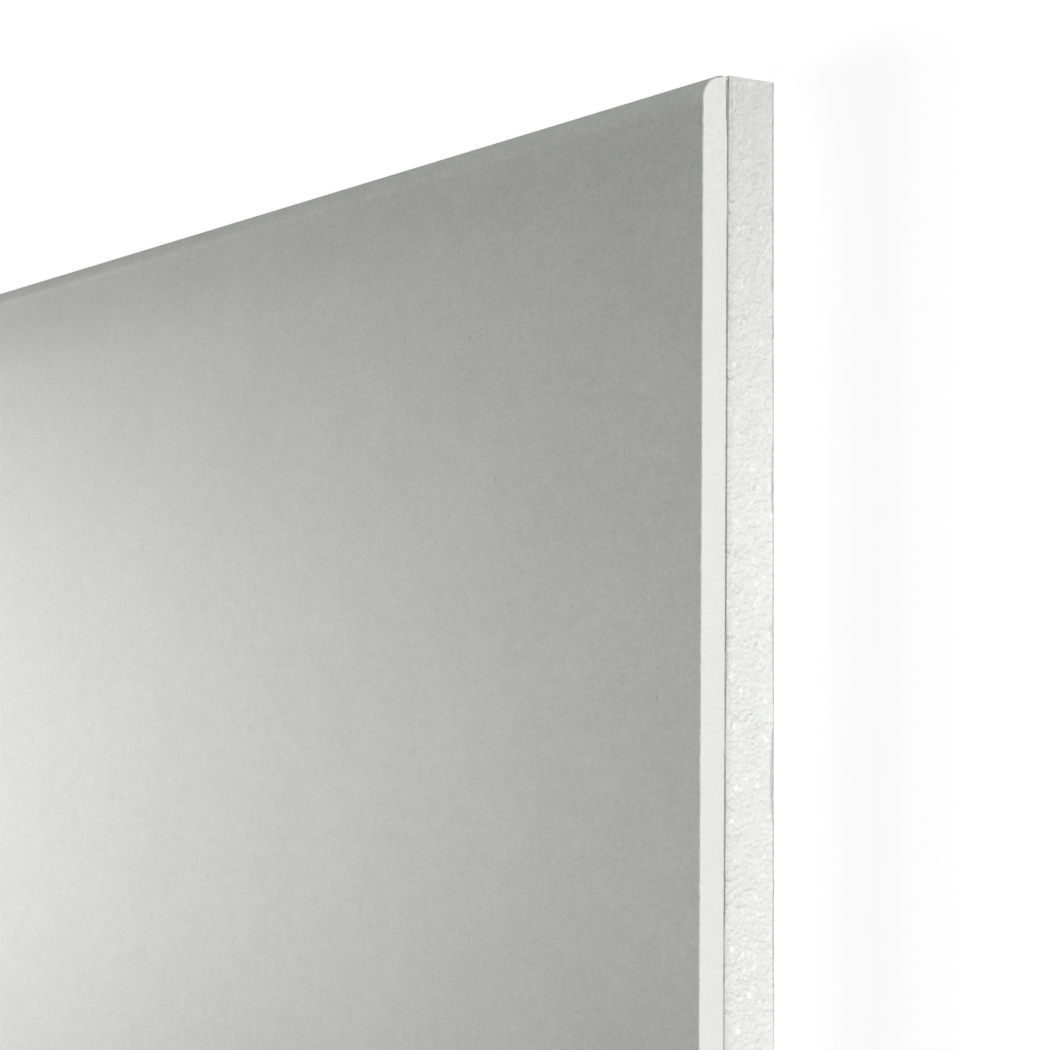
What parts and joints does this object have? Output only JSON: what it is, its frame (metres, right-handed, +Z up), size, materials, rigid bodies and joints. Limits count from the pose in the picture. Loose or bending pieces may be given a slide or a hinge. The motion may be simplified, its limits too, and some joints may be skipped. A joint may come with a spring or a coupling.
{
  "type": "insulated drywall sheet",
  "caption": "Flat drywall sheet with rounded paper-wrapped long edges, a gypsum core and a bonded bead-foam backing, for lining and insulating walls.",
  "frame": {"origin": "centre of the foam's back face, on the floor under the flat sheet", "axes": "+X along the paper-wrapped long edges, +Y across the sheet, +Z up out of the paper face"},
  "size_m": [2.4, 1.2, 0.027],
  "materials": {
    "face_paper": "matte",
    "gypsum": "matte",
    "back_paper": "matte",
    "foam": "matte"
  },
  "bodies": {
    "root": {"face_paper": "face_paper", "gypsum_core": "gypsum", "back_paper": "back_paper", "foam_board": "foam"}
  },
  "joints": []
}
